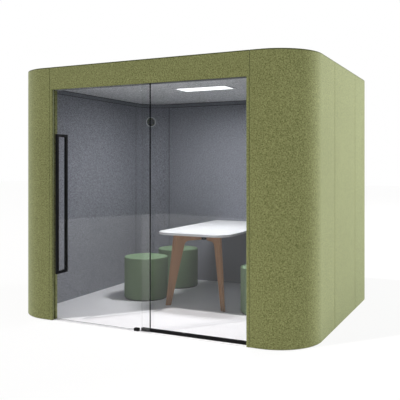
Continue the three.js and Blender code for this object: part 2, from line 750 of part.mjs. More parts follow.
function buildLight() {
  const box = (grow, low, high) => {
    const x = LIGHT_LENGTH / 2 + grow;
    const y = LIGHT_WIDTH / 2 + grow;
    return block(LIGHT_X - x, LIGHT_Y - y, low, LIGHT_X + x, LIGHT_Y + y, high);
  };
  const lipTop = ceilingBottom - SEAT;
  const lipBottom = lipTop - LIGHT_FLANGE_THICKNESS;
  const trayTop = lipBottom + TRAY_HEIGHT;
  const outer = LIGHT_LIP + TRAY_WALL;
  const tray = join(box(outer + LIGHT_FLANGE, lipBottom, lipTop), box(outer, lipBottom, trayTop));
  const inside = box(LIGHT_LIP, lipTop, trayTop - TRAY_WALL);
  add('light_frame', cut(tray, inside, box(0, lipBottom - OVERCUT, lipTop + OVERCUT)), 'whiteMetal');
  const diffuserLow = lipTop + SEAT;
  add('light_diffuser', box(LIGHT_LIP - SEAT, diffuserLow, diffuserLow + DIFFUSER), 'diffuser');
  const driver = outline(roundedRectangle(DRIVER_LENGTH / 2, DRIVER_WIDTH / 2, DRIVER_ROUND, ROUND_STEPS));
  const driverLow = ceilingTop + SEAT;
  const driverY = LIGHT_Y + trayHalfY() + DRIVER_FROM_TRAY;
  const housing = upright(driver, driverLow, driverLow + DRIVER_HEIGHT, EDGE_ROUND);
  add('light_driver', housing.translate(LIGHT_X, driverY, 0), 'whiteMetal');
}

// Corner vent and fan, drawn round Z from the centre of the rear left corner's arc

function ventPlace() {
  const place = new THREE.Matrix4().makeTranslation(-arcX, arcY, ceilingBottom - VENT_DROP);
  const outward = new THREE.Vector3(-1, 1, 0).normalize();
  const across = new THREE.Vector3(1, 1, 0).normalize();
  const turn = new THREE.Matrix4().makeBasis(across, outward.clone().cross(across), outward);
  return place.multiply(turn);
}

function ring(outer, inner, low, high) {
  return turned([[inner, low], [outer, low], [outer, high], [inner, high], [inner, low]], RING_STEPS);
}

// A flat ring or disc with concentric slots between spokes.
function grilleShape(radius) {
  const shape = outline(circle(0, 0, radius, RING_STEPS));
  const pitch = (radius - GRILLE_BAR - GRILLE_HUB) / GRILLE_RINGS;
  for (let row = 0; row < GRILLE_RINGS; row += 1) {
    const inner = GRILLE_HUB + row * pitch + GRILLE_BAR / 2;
    const outer = GRILLE_HUB + (row + 1) * pitch - GRILLE_BAR / 2;
    for (let spoke = 0; spoke < GRILLE_SPOKES; spoke += 1) {
      const start = (360 / GRILLE_SPOKES) * spoke;
      const end = start + 360 / GRILLE_SPOKES;
      const innerTrim = THREE.MathUtils.radToDeg(GRILLE_BAR / 2 / inner);
      const outerTrim = THREE.MathUtils.radToDeg(GRILLE_BAR / 2 / outer);
      shape.holes.push(new THREE.Path(vectors([
        ...arc(0, 0, outer, start + outerTrim, end - outerTrim, ROUND_STEPS),
        ...arc(0, 0, inner, end - innerTrim, start + innerTrim, ROUND_STEPS),
      ])));
    }
  }
  return shape;
}

function fanBlade(index, root, tip, low) {
  const stations = [root, (root + tip) / 2, tip];
  const positions = [];
  stations.forEach((radius, station) => {
    const sweep = THREE.MathUtils.degToRad(FAN_BLADE_SWEEP - station * FAN_BLADE_TWIST);
    const start = (index * 2 * Math.PI) / FAN_BLADES;
    const thickness = FAN_BLADE / radius;
    const high = low + FAN_BLADE_DEPTH;
    const section = [[0, low], [thickness, low], [sweep + thickness, high], [sweep, high]];
    for (const [angle, z] of section) {
      positions.push(radius * Math.cos(start + angle), radius * Math.sin(start + angle), z);
    }
  });
  const faces = [0, 2, 1, 0, 3, 2];
  for (let station = 0; station + 1 < stations.length; station += 1) {
    for (let side = 0; side < 4; side += 1) {
      const a = station * 4 + side;
      const b = station * 4 + ((side + 1) % 4);
      faces.push(a, b, b + 4, a, b + 4, a + 4);
    }
  }
  const last = (stations.length - 1) * 4;
  faces.push(last, last + 1, last + 2, last, last + 2, last + 3);
  const geometry = new THREE.BufferGeometry();
  geometry.setAttribute('position', new THREE.Float32BufferAttribute(positions, 3));
  geometry.setIndex(faces);
  return geometry;
}

function buildVent() {
  const vent = new THREE.Group();
  vent.applyMatrix4(ventPlace());
  pod.add(vent);

  const liningFace = Math.sqrt((CORNER_RADIUS - wall) ** 2 - VENT_RADIUS ** 2);
  const flangeBack = liningFace - SEAT;
  const flangeFront = flangeBack - VENT_FLANGE;
  const neckEnd = CORNER_RADIUS - liningOffset + SEAT;
  const neck = VENT_BORE + VENT_NECK;
  const collar = [
    [VENT_BORE, flangeFront], [VENT_RADIUS, flangeFront], [VENT_RADIUS, flangeBack],
    [neck, flangeBack], [neck, neckEnd], [VENT_BORE, neckEnd], [VENT_BORE, flangeFront],
  ];
  add('vent_ring', turned(collar, RING_STEPS), 'palePlastic', vent);
  const grilleFront = flangeFront + GRILLE_RECESS;
  const grille = upright(grilleShape(VENT_BORE - SEAT), grilleFront, grilleFront + GRILLE);
  add('vent_grille', grille, 'greyPlastic', vent);

  const fanFront = neckEnd + SEAT;
  const fanBack = Math.sqrt((CORNER_RADIUS - PANEL) ** 2 - FAN_RADIUS ** 2) - SEAT;
  const bore = FAN_RADIUS - FAN_WALL;
  const baseFront = fanBack - FAN_MOTOR_BASE;
  const hubBack = baseFront - AXLE_GAP;
  const hubFront = hubBack - FAN_HUB_DEPTH;
  const struts = [];
  for (let i = 0; i < FAN_STRUTS; i += 1) {
    const strut = block(0, -FAN_STRUT / 2, baseFront, bore + FAN_WALL / 2, FAN_STRUT / 2, fanBack);
    struts.push(strut.rotateZ((i * 2 * Math.PI) / FAN_STRUTS));
  }
  const motorBase = rod(FAN_MOTOR_RADIUS, baseFront, fanBack);
  const spindle = rod(AXLE_RADIUS, hubFront + FAN_BLADE, fanBack);
  const housing = join(ring(FAN_RADIUS, bore, fanFront, fanBack), ...struts, motorBase, spindle);
  add('fan_housing', housing, 'darkPlastic', vent);

  const hub = rod(FAN_MOTOR_RADIUS, hubFront, hubBack, RING_STEPS);
  const blades = [];
  for (let i = 0; i < FAN_BLADES; i += 1) {
    blades.push(fanBlade(i, FAN_MOTOR_RADIUS - FAN_BLADE, bore - FAN_TIP_GAP, hubFront + FAN_BLADE));
  }
  const spindleHole = rod(AXLE_RADIUS + AXLE_GAP, hubFront + FAN_BLADE - AXLE_GAP, hubBack + OVERCUT);
  add('fan_rotor', cut(join(hub, ...blades), spindleHole), 'darkPlastic', vent);
}

function buildRoofOutlet() {
  const shape = outline(circle(0, 0, OUTLET_RADIUS, RING_STEPS));
  const neck = OUTLET_HOLE - SEAT;
  const bore = neck - OUTLET_NECK;
  const pitch = OUTLET_SLOT + OUTLET_BAR;
  for (let i = 0; i < OUTLET_SLOTS; i += 1) {
    const y = (i - (OUTLET_SLOTS - 1) / 2) * pitch;
    const reach = Math.abs(y) + OUTLET_SLOT / 2;
    const half = Math.sqrt((bore - OUTLET_NECK) ** 2 - reach ** 2);
    const slot = rectangle(-half, y - OUTLET_SLOT / 2, half, y + OUTLET_SLOT / 2);
    shape.holes.push(new THREE.Path(vectors(slot)));
  }
  const low = roofTop + SEAT;
  const flange = upright(shape, low, low + OUTLET_FLANGE);
  const cap = join(flange, ring(neck, bore, roofBottom, low + OUTLET_FLANGE / 2));
  add('roof_outlet', cap.translate(-arcX, arcY, 0), 'darkPlastic');
}

// Table

function tablePlan() {
  const x = TABLE_WIDTH / 2;
  const y = TABLE_LENGTH / 2;
  const turnX = x - TABLE_CORNER;
  const turnY = TABLE_CORNER - y;
  return outline([
    [x, y], [-x, y],
    ...arc(-turnX, turnY, TABLE_CORNER, 180, 270, TABLE_STEPS),
    ...arc(turnX, turnY, TABLE_CORNER, 270, 360, TABLE_STEPS),
  ]);
}

// A flat leg that leans out to its foot and carries an arm under the table top.
function legBlade(armLength) {
  const foot = floorTop + SEAT;
  const top = tableUnderside - SEAT;
  const knee = new THREE.Vector2(LEG_SHOULDER, top - LEG_ARM_DEPTH);
  const footInner = new THREE.Vector2(LEG_FOOT - LEG_SPLAY, foot);
  const tip = new THREE.Vector2(armLength, top - LEG_ARM_TIP);
  const before = knee.clone().add(footInner.clone().sub(knee).setLength(LEG_FILLET));
  const after = knee.clone().add(tip.clone().sub(knee).setLength(LEG_FILLET));
  const shape = new THREE.Shape();
  shape.moveTo(-LEG_SPLAY, foot);
  shape.lineTo(footInner.x, footInner.y);
  shape.lineTo(before.x, before.y);
  shape.quadraticCurveTo(knee.x, knee.y, after.x, after.y);
  shape.lineTo(tip.x, tip.y);
  shape.lineTo(armLength, top);
  shape.lineTo(0, top);
  return facing(shape, -LEG / 2, LEG / 2, LEG_ROUND);
}

// A block that takes the ends of both arms, with a plate behind it that screws to the table top.
function legHub(angle) {
  const top = tableUnderside - SEAT;
  const reach = LEG_ARM_GAP - SEAT;
  const [across, along] = [Math.cos(angle), Math.sin(angle)];
  const backX = reach * across + (HUB_WIDTH / 2) * along;
  const backY = (HUB_WIDTH / 2) * across - reach * along;
  const frontX = reach * across - (HUB_WIDTH / 2) * along;
  const frontY = -reach * along - (HUB_WIDTH / 2) * across;
  const plan = outline([[-frontX, frontY], [frontX, frontY], [backX, backY], [-backX, backY]]);
  const body = upright(plan, top - LEG_ARM_TIP, top);
  const [plateX, plateY] = [HUB_PLATE_WIDTH / 2, HUB_PLATE_DEPTH / 2];
  const plate = outline(roundedRectangle(plateX, plateY, HUB_PLATE_CORNER, ROUND_STEPS));
  const flange = upright(plate, top - HUB_PLATE, top);
  return join(body, flange.translate(0, backY - OVERCUT + plateY, 0));
}

function wallAngle() {
  const top = tableUnderside - SEAT;
  const [low, front] = [top - WALL_ANGLE_FLANGE, tableBack - WALL_ANGLE_FLANGE];
  const section = outline([
    [tableBack, low], [tableBack, top], [front, top], [front, top - WALL_ANGLE_PLATE],
    [tableBack - WALL_ANGLE_PLATE, top - WALL_ANGLE_PLATE], [tableBack - WALL_ANGLE_PLATE, low],
  ]);
  return lengthwise(section, TABLE_X - WALL_ANGLE_LENGTH / 2, TABLE_X + WALL_ANGLE_LENGTH / 2);
}

function buildTable() {
  const top = upright(tablePlan(), tableUnderside, tableTop, TABLE_EDGE_ROUND);
  add('table_top', top.translate(TABLE_X, tableY, 0), 'whiteTop');
  const angle = THREE.MathUtils.degToRad(LEG_ANGLE);
  const legX = TABLE_WIDTH / 2 - LEG_SIDE_INSET;
  const legY = tableY - TABLE_LENGTH / 2 + LEG_END_INSET;
  const blade = legBlade(legX / Math.cos(angle) - LEG_ARM_GAP);
  const legs = { left: [-1, angle], right: [1, Math.PI - angle] };
  for (const [place, [side, turn]] of Object.entries(legs)) {
    const leg = add(`table_${place}_leg`, blade, 'wood');
    leg.rotation.z = turn;
    leg.position.set(TABLE_X + side * legX, legY, 0);
  }
  const hub = legHub(angle).translate(TABLE_X, legY + legX * Math.tan(angle), 0);
  add('table_leg_bracket', hub, 'blackMetal');
  add('table_wall_bracket', wallAngle(), 'blackMetal');
}

// Stools

function stoolBody() {
  const low = floorTop + SEAT;
  const shoulder = low + STOOL_HEIGHT - STOOL_CROWN;
  const side = STOOL_RADIUS;
  const plinth = side - STOOL_PLINTH_INSET;
  const skirt = low + STOOL_PLINTH_HEIGHT;
  const profile = [
    [0, low], [plinth, low], [plinth, skirt], [side, skirt],
    ...arc(side - STOOL_EDGE, shoulder - STOOL_EDGE, STOOL_EDGE, 0, 90, ROUND_STEPS),
    ...[1 / 2, 0].map((t) => [side * t, shoulder + STOOL_CROWN * (1 - t * t)]),
  ];
  return turned(profile, LATHE_STEPS);
}

function buildStools() {
  const places = {
    front_left: [-1, STOOL_FRONT_LEFT_Y],
    back_left: [-1, STOOL_BACK_Y],
    front_right: [1, STOOL_FRONT_RIGHT_Y],
    back_right: [1, STOOL_BACK_Y],
  };
  for (const [place, [side, along]] of Object.entries(places)) {
    const stool = add(`${place}_stool`, stoolBody(), 'stoolFelt');
    stool.position.set(side * stoolX, tableY + along, 0);
  }
}

buildOuterPanels();
buildPortal();
buildLinings();
buildFrames();
buildFloorAndRoof();
buildFixedPane();
buildTrack();
buildDoorGlass();
buildHandles();
buildHangers();
buildLight();
buildVent();
buildRoofOutlet();
buildTable();
buildStools();

export default pod;
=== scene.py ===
"""Acoustic office pod: the finish of every surface, the studio round it and the camera.

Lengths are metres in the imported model's frame: +X to the right, +Y to the back, +Z up.
"""
import json
import math

import bmesh
import bpy
from mathutils import Matrix, Vector


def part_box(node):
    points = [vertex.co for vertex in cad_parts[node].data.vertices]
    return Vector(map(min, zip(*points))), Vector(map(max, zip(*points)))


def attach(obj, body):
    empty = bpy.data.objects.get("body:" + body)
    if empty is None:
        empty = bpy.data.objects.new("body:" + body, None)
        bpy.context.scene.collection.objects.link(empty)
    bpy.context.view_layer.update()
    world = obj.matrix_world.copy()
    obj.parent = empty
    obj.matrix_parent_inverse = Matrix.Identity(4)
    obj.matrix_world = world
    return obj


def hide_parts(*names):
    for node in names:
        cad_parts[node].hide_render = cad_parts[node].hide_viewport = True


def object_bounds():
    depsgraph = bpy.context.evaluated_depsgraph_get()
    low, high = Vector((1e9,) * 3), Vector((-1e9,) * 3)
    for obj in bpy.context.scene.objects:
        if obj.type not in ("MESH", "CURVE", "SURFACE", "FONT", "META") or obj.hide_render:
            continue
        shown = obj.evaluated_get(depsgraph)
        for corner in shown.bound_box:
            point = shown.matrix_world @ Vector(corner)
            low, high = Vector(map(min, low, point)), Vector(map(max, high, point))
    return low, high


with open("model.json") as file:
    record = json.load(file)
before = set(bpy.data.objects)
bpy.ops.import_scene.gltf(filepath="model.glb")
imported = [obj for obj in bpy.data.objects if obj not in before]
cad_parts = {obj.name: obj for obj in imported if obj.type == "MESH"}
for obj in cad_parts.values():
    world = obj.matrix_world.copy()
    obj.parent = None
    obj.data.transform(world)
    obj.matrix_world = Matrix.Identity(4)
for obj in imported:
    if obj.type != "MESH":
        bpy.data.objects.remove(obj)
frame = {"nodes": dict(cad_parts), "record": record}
cad_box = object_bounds()
nodes = frame["nodes"]
slot_of = {entry["node"]: entry["material_slot"] for entry in frame["record"]["subparts"]}

# Camera of the photograph
CAMERA_PLACE = (2.7119, -5.5948, 1.3970)
CAMERA_TURN = 0.448
PHOTO_SIZE = 400
FOCAL_PIXELS = 609.083
CENTRE_PIXEL = (206.617, 166.639)
SENSOR = 36.0

# Light of the studio and of the pod's own lamp
STUDIO_GLOW = 0.28
SUN_POWER = 2.62
SUN_COLOUR = (1.0, 0.965, 0.935)
SUN_SOFTNESS = 0.8
SUN_HEIGHT = 60.7
SUN_FROM_LEFT = 40.0
SIDE_LAMPS = {"back_side_lamp": ((10.6, 13.1, 6.5), 2400.0), "side_lamp": ((11.4, 0.1, 4.0), 390.0)}
SIDE_LAMP_AIM = (1.4, 0.0, 1.1)
SIDE_LAMP_SIZE = (5.0, 5.0)
CEILING_LAMP_POWER = 27.2
CEILING_LAMP_SPREAD = 172.0
LAMP_GAP = 0.004

# Studio floor, and the dark card behind the camera that shows in the glass
FLOOR_HALF = 40.0
FLOOR_DROP = 0.001
FLOOR_SHADOW = 0.12
CARD_CORNER = (-6.3, -12.6)
CARD_ENDS = ((-17.0, 8.2), (40.0, -0.35))
CARD_HEIGHT = 14.0

# Shading of welded CAD shapes
WELD = 1e-5
SHARP_DEGREES = 50.0

# Darker band on top of the outer panels, painted shadow lines of the ceiling trim, painted shade along the
# seams of the linings, and painted shadow in the gap round the light
TOP_BAND_HEIGHT = 0.009
BAND_FADE = 0.001
TRIM_LINE = 0.005
SEAM_SHADE_HALF = 0.003
LIGHT_SHADE_WIDTH = 0.007

# Felt: shares of its four patterns, how its hairs are stretched, and the relief of its surface
CLUMP_SHARE = 0.44
HAIR_SHARE = 0.34
FUZZ_SHARE = 0.19
BROAD_SHARE = 0.03
UPRIGHT_HAIRS = (1.0, 1.0, 0.22)
FLAT_HAIRS = (0.3, 0.3, 1.0)
FUZZ_FINER = 3.5
BROAD_SCALE = 1.7
FELT_DEPTH = 0.0012
FELT_RELIEF = 0.6

# Glass: how much it mirrors straight on and at a slant, and the dark strip on the door's right edge
MIRROR_STRAIGHT = 0.023
MIRROR_SLANT = 0.9
MIRROR_RISE = 5.0
CLEAR_TINT = (0.985, 0.985, 0.986, 1.0)
DOOR_BORDER = 0.0065

# Stool covers, sewn along the rim and stretched over foam
COVER_SEGMENTS = 96
COVER_FOOT_RINGS = 4
COVER_SIDE_RINGS = 26
COVER_RIM_RINGS = 4
COVER_TOP_RINGS = 16
COVER_START = 0.0025
COVER_RIM_ROUND = 0.007
COVER_CROWN = 0.004
COVER_HEM = 0.004
COVER_SWELL = 0.0025
COVER_PRESSURE = 4.0
COVER_MASS = 0.3
COVER_QUALITY = 6
COVER_FRAMES = 20
PLINTH_INSET = 0.012
PLINTH_HEIGHT = 0.009
PLINTH_ROUND = 0.002
PLINTH_GAP = 0.0005
STITCH_DROP = 0.014
STITCH_PITCH = 0.0065
STITCH_LENGTH = 0.0042
STITCH_RADIUS = 0.0006

# Screws
SCREW_RADIUS = 0.0055
SCREW_HEAD = 0.0024
SCREW_SIDES = 14
SCREW_TOP_SHARE = 0.72
SOCKET_WIDTH_SHARE = 0.6
SOCKET_DEPTH_SHARE = 0.7
ROOF_SCREW_INSET = 0.035
ROOF_SCREW_PITCH = 0.33
OUTLET_SCREW_EDGE = 0.003
OUTLET_SCREWS = 4
WALL_PLATE = 0.004
WALL_SCREW_EDGE = 0.018
WALL_SCREW_END = 0.06
WALL_SCREWS = 5
LEG_PLATE = 0.005
LEG_SCREW_EDGE = 0.014
LEG_SCREW_ROWS = (0.014, 0.052)


def linear(red, green, blue):
    """A colour as seen on a screen, 0 to 255, turned into the values a shader takes."""
    def channel(value):
        share = value / 255.0
        return share / 12.92 if share <= 0.04045 else ((share + 0.055) / 1.055) ** 2.4
    return (channel(red), channel(green), channel(blue), 1.0)


WHITE = (1.0, 1.0, 1.0, 1.0)


# Shader maths

class Value:
    """A shader socket that takes part in Python expressions."""

    def __init__(self, shader, socket):
        self.shader = shader
        self.socket = socket

    def math(self, operation, first, second):
        return self.shader.node("ShaderNodeMath", {"operation": operation}, {0: first, 1: second})

    def __add__(self, other):
        return self.math("ADD", self, other)

    def __sub__(self, other):
        return self.math("SUBTRACT", self, other)

    def __rsub__(self, other):
        return self.math("SUBTRACT", other, self)

    def __mul__(self, other):
        return self.math("MULTIPLY", self, other)

    def __pow__(self, other):
        return self.math("POWER", self, other)

    def __gt__(self, other):
        return self.math("GREATER_THAN", self, other)

    def __abs__(self):
        return self.math("ABSOLUTE", self, 0.0)

    __radd__ = __add__
    __rmul__ = __mul__


class Nodes:
    """A node tree that grows one node at a time."""

    def __init__(self, tree):
        self.tree = tree
        tree.nodes.clear()

    def node(self, kind, settings=None, inputs=None, output=0):
        made = self.tree.nodes.new(kind)
        for name, value in (settings or {}).items():
            setattr(made, name, value)
        for name, value in (inputs or {}).items():
            if isinstance(value, Value):
                self.tree.links.new(value.socket, made.inputs[name])
            else:
                made.inputs[name].default_value = value
        return Value(self, made.outputs[output]) if made.outputs else None


class Shader(Nodes):
    """A tree of shader nodes, with the mixes that the finishes need."""

    def mix(self, factor, first, second):
        settings = {"data_type": "RGBA"}
        return self.node("ShaderNodeMix", settings, {0: factor, 6: first, 7: second}, 2)

    def blend(self, factor, first, second):
        return self.node("ShaderNodeMixShader", None, {0: factor, 1: first, 2: second})

    def spread(self, value, low, high):
        """Stretches value so that low becomes 0 and high becomes 1."""
        return self.node("ShaderNodeMapRange", None, {0: value, 1: low, 2: high})

    def seen(self):
        """1 for rays from the camera, mirrors and glass, and 0 for rays that carry light."""
        rays = ("Is Camera Ray", "Is Glossy Ray", "Is Transmission Ray")
        shares = [self.node("ShaderNodeLightPath", None, None, ray) for ray in rays]
        return shares[0].math("MAXIMUM", shares[0].math("MAXIMUM", shares[0], shares[1]), shares[2])


class Finish(Shader):
    """A material on Object coordinates."""

    def __init__(self, name):
        self.material = bpy.data.materials.new(name)
        self.material.use_nodes = True
        super().__init__(self.material.node_tree)
        self.place = self.node("ShaderNodeTexCoord", None, None, "Object")

    def stretched(self, stretch):
        return self.node("ShaderNodeMapping", None, {"Vector": self.place, "Scale": stretch})

    def noise(self, scale, detail=2.0, roughness=0.5, stretch=None):
        place = self.stretched(stretch) if stretch else self.place
        sockets = {"Vector": place, "Scale": scale, "Detail": detail, "Roughness": roughness}
        return self.node("ShaderNodeTexNoise", None, sockets)

    def bump(self, height, depth, strength):
        sockets = {"Height": height, "Distance": depth, "Strength": strength}
        return self.node("ShaderNodeBump", None, sockets)

    def along(self, axis):
        return self.node("ShaderNodeSeparateXYZ", None, {0: self.place}, axis)

    def facing(self, axis):
        normal = self.node("ShaderNodeNewGeometry", None, None, "Normal")
        return self.node("ShaderNodeSeparateXYZ", None, {0: normal}, axis)

    def principled(self, sockets):
        return self.node("ShaderNodeBsdfPrincipled", None, sockets)

    def show(self, shader):
        self.node("ShaderNodeOutputMaterial", None, {"Surface": shader})
        return self.material


class Pattern(Nodes):
    """A Geometry Nodes tree with named inputs, which ends in real faces with a finish."""

    def __init__(self, name, *sizes):
        super().__init__(bpy.data.node_groups.new(name, "GeometryNodeTree"))
        self.socket("Guide", "NodeSocketGeometry")
        self.socket("Finish", "NodeSocketMaterial")
        for size in sizes:
            self.socket(size, "NodeSocketFloat")
        self.socket("Geometry", "NodeSocketGeometry", "OUTPUT")
        self.inputs = self.tree.nodes.new("NodeGroupInput")

    def socket(self, name, kind, way="INPUT"):
        self.tree.interface.new_socket(name, in_out=way, socket_type=kind)

    def given(self, name):
        return Value(self, self.inputs.outputs[name])

    def close(self, copies):
        faces = self.node("GeometryNodeRealizeInstances", None, {"Geometry": copies})
        sockets = {"Geometry": faces, "Material": self.given("Finish")}
        dressed = self.node("GeometryNodeSetMaterial", None, sockets)
        self.node("NodeGroupOutput", None, {"Geometry": dressed})

    def grow(self, guide, finish, sizes):
        """Runs the tree on a guide mesh and returns the result as a plain mesh."""
        holder = bpy.data.objects.new(guide.name, guide)
        bpy.context.scene.collection.objects.link(holder)
        modifier = holder.modifiers.new("pattern", "NODES")
        modifier.node_group = self.tree
        values = {"Finish": finish, **sizes}
        for item in self.tree.interface.items_tree:
            if item.name in values:
                modifier[item.identifier] = values[item.name]
        graph = bpy.context.evaluated_depsgraph_get()
        mesh = bpy.data.meshes.new_from_object(holder.evaluated_get(graph))
        bpy.data.objects.remove(holder)
        return mesh


# Finishes

class Felt(Finish):
    """Pressed felt: clumps of two dyed fibres, with short hairs lying both ways."""

    def __init__(self, name, clump_scale, fibre_scale, contrast):
        super().__init__(name)
        self.clumps = self.noise(clump_scale, detail=3.0, roughness=0.65)
        upright_hairs = self.noise(fibre_scale, roughness=0.6, stretch=UPRIGHT_HAIRS)
        flat_hairs = self.noise(fibre_scale, roughness=0.6, stretch=FLAT_HAIRS)
        self.hairs = (upright_hairs + flat_hairs) * 0.5
        fuzz = self.noise(fibre_scale * FUZZ_FINER, roughness=0.6)
        broad = self.noise(BROAD_SCALE)
        blend = self.clumps * CLUMP_SHARE + self.hairs * HAIR_SHARE + fuzz * FUZZ_SHARE + broad * BROAD_SHARE
        self.share = self.spread(blend, 0.5 - contrast, 0.5 + contrast)

    def pressed(self, colour, sheen, tint):
        return self.show(self.principled({
            "Base Color": colour,
            "Roughness": 0.95,
            "Specular IOR Level": 0.15,
            "Sheen Weight": sheen,
            "Sheen Roughness": 0.45,
            "Sheen Tint": tint,
            "Normal": self.bump(self.hairs + self.clumps * 0.5, FELT_DEPTH, FELT_RELIEF),
        }))


def panel_felt():
    """Green felt of the outer panels, darker in a band along their top edge."""
    finish = Felt("panel_felt", clump_scale=105.0, fibre_scale=280.0, contrast=0.1)
    body = finish.mix(finish.share, linear(78, 81, 40), linear(148, 152, 102))
    top_band_low = cad_box[1].z - TOP_BAND_HEIGHT
    top_band = finish.spread(finish.along("Z"), top_band_low - BAND_FADE, top_band_low + BAND_FADE)
    colour = finish.mix(top_band, body, linear(62, 66, 29))
    return finish.pressed(colour, sheen=0.6, tint=linear(216, 226, 198))


def lining_felt():
    """Blue-grey felt of the walls, with painted shade along the seams between the panels."""
    finish = Felt("lining_felt", clump_scale=92.0, fibre_scale=280.0, contrast=0.09)
    body = finish.mix(finish.share, linear(97, 99, 107), linear(155, 158, 166))
    off_back_seam = abs(abs(finish.along("X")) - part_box("back_lining")[1].x)
    off_side_seam = abs(abs(finish.along("Y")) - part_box("left_lining")[1].y)
    # painted shade: a dark line along each seam, where the bevelled panel edges would be in shade
    seam_shade_edges = (SEAM_SHADE_HALF + BAND_FADE, SEAM_SHADE_HALF - BAND_FADE)
    seam_shade = finish.spread(off_back_seam, *seam_shade_edges) + finish.spread(off_side_seam, *seam_shade_edges)
    colour = finish.mix(seam_shade, body, linear(76, 78, 84))
    return finish.pressed(colour, sheen=0.2, tint=linear(206, 208, 214))


def ceiling_felt():
    """Pale felt, with a painted shadow in the gap round the frame of the light."""
    finish = Felt("ceiling_felt", clump_scale=52.0, fibre_scale=220.0, contrast=0.075)
    body = finish.mix(finish.share, linear(160, 161, 164), linear(226, 227, 229))
    low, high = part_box("light_frame")
    off_x = abs(finish.along("X") - (low.x + high.x) / 2) - (high.x - low.x) / 2
    off_y = abs(finish.along("Y") - (low.y + high.y) / 2) - (high.y - low.y) / 2
    off_frame = off_x.math("MAXIMUM", off_x, off_y)
    # painted shadow: a dark ring on the felt round the light's frame, where a gap would be in shade
    gap_shade = finish.spread(off_frame, LIGHT_SHADE_WIDTH + BAND_FADE, LIGHT_SHADE_WIDTH - BAND_FADE)
    colour = finish.mix(gap_shade, body, linear(30, 31, 33))
    return finish.pressed(colour, sheen=0.1, tint=linear(222, 223, 226))


def trim_felt():
    """Grey felt painted a little darker than the lining felt, as shade in the recess, between two painted
    shadow lines, at the ceiling and over the linings.
    """
    finish = Felt("trim_felt", clump_scale=120.0, fibre_scale=330.0, contrast=0.12)
    low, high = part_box("ceiling_trim")
    # painted shade: the band is a darker copy of the lining felt, standing for the shade in the recess
    shaded_band = finish.mix(finish.share, linear(97, 100, 107), linear(146, 149, 156))
    off_middle = abs(finish.along("Z") - (low.z + high.z) / 2)
    line_start = (high.z - low.z) / 2 - TRIM_LINE
    # painted shadow: dark lines at the top and bottom of the band
    line = finish.spread(off_middle, line_start - BAND_FADE, line_start + BAND_FADE)
    colour = finish.mix(line, shaded_band, linear(26, 27, 29))
    return finish.pressed(colour, sheen=0.15, tint=linear(190, 192, 198))


def stool_felt():
    """Green felt of the stools, painted paler on the seat than on the side, as light from above would fall.
    """
    finish = Felt("stool_felt", clump_scale=150.0, fibre_scale=420.0, contrast=0.2)
    shaded_side = finish.mix(finish.share, linear(94, 115, 87), linear(126, 147, 116))
    lit_seat = finish.mix(finish.share, linear(109, 136, 105), linear(145, 172, 138))
    # painted light and shade: faces that look up get the paler colour, the side the darker one
    lit_share = finish.spread(finish.facing("Z"), low=0.3, high=0.8)
    colour = finish.mix(lit_share, shaded_side, lit_seat)
    return finish.pressed(colour, sheen=0.1, tint=linear(200, 214, 194))


def oiled_wood():
    """Straight grain along the leg, with fine pores and broad pale and dark bands."""
    finish = Finish("oiled_wood")
    bands = finish.noise(9.0, detail=3.0, roughness=0.55, stretch=(1.0, 1.0, 0.07))
    grain = finish.noise(60.0, detail=4.0, roughness=0.6, stretch=(1.0, 1.0, 0.04))
    pores = finish.noise(420.0, stretch=(1.0, 1.0, 0.03))
    share = finish.spread(bands * 0.5 + grain * 0.5, low=0.3, high=0.7)
    pale = finish.mix(share, linear(124, 85, 54), linear(170, 127, 86))
    open_pores = finish.spread(pores, low=0.62, high=0.75)
    colour = finish.mix(open_pores * 0.45, pale, linear(88, 60, 42))
    return finish.show(finish.principled({
        "Base Color": colour,
        "Roughness": 0.42 + 0.18 * pores,
        "Normal": finish.bump(grain * 0.4 + pores, depth=0.0004, strength=0.5),
    }))


def white_laminate():
    """White on top, with a grey edge band."""
    finish = Finish("white_laminate")
    grain = finish.noise(700.0)
    cloud = finish.noise(5.0, detail=3.0)
    top = finish.mix(cloud, linear(226, 228, 231), linear(238, 240, 242))
    shaded_band = finish.mix(cloud, linear(202, 203, 206), linear(214, 215, 218))
    return finish.show(finish.principled({
        "Base Color": finish.mix(finish.spread(finish.facing("Z"), low=0.5, high=0.9), shaded_band, top),
        "Roughness": 0.28 + 0.16 * grain,
        "Normal": finish.bump(grain, depth=0.0001, strength=0.25),
    }))


def powder_coat(name, colour, worn, shine):
    """Painted metal with a fine orange-peel grain and faint rubbed patches."""
    finish = Finish(name)
    grain = finish.noise(1500.0)
    patches = finish.noise(14.0, detail=4.0, roughness=0.7)
    rubbed = finish.spread(patches, low=0.55, high=0.8)
    return finish.show(finish.principled({
        "Base Color": finish.mix(rubbed * 0.5, colour, worn),
        "Roughness": 0.42 + 0.14 * grain - 0.08 * rubbed,
        "Specular IOR Level": shine,
        "Metallic": 0.1,
        "Normal": finish.bump(grain, depth=0.0001, strength=0.35),
    }))


def drawn_metal(name, colour, roughness):
    """Metal with fine lines along X, as from a die or a brush."""
    finish = Finish(name)
    lines = finish.noise(900.0, stretch=(0.02, 1.0, 1.0))
    stain = finish.noise(6.0, detail=3.0)
    return finish.show(finish.principled({
        "Base Color": finish.mix(stain * 0.3, colour, linear(70, 72, 74)),
        "Metallic": 1.0,
        "Roughness": roughness + 0.15 * lines,
        "Normal": finish.bump(lines, depth=0.0001, strength=0.2),
    }))


def moulded_plastic(name, colour, pale):
    finish = Finish(name)
    grain = finish.noise(1100.0, detail=3.0)
    cloud = finish.noise(9.0)
    return finish.show(finish.principled({
        "Base Color": finish.mix(cloud, colour, pale),
        "Roughness": 0.48 + 0.2 * grain,
        "Normal": finish.bump(grain, depth=0.0001, strength=0.4),
    }))


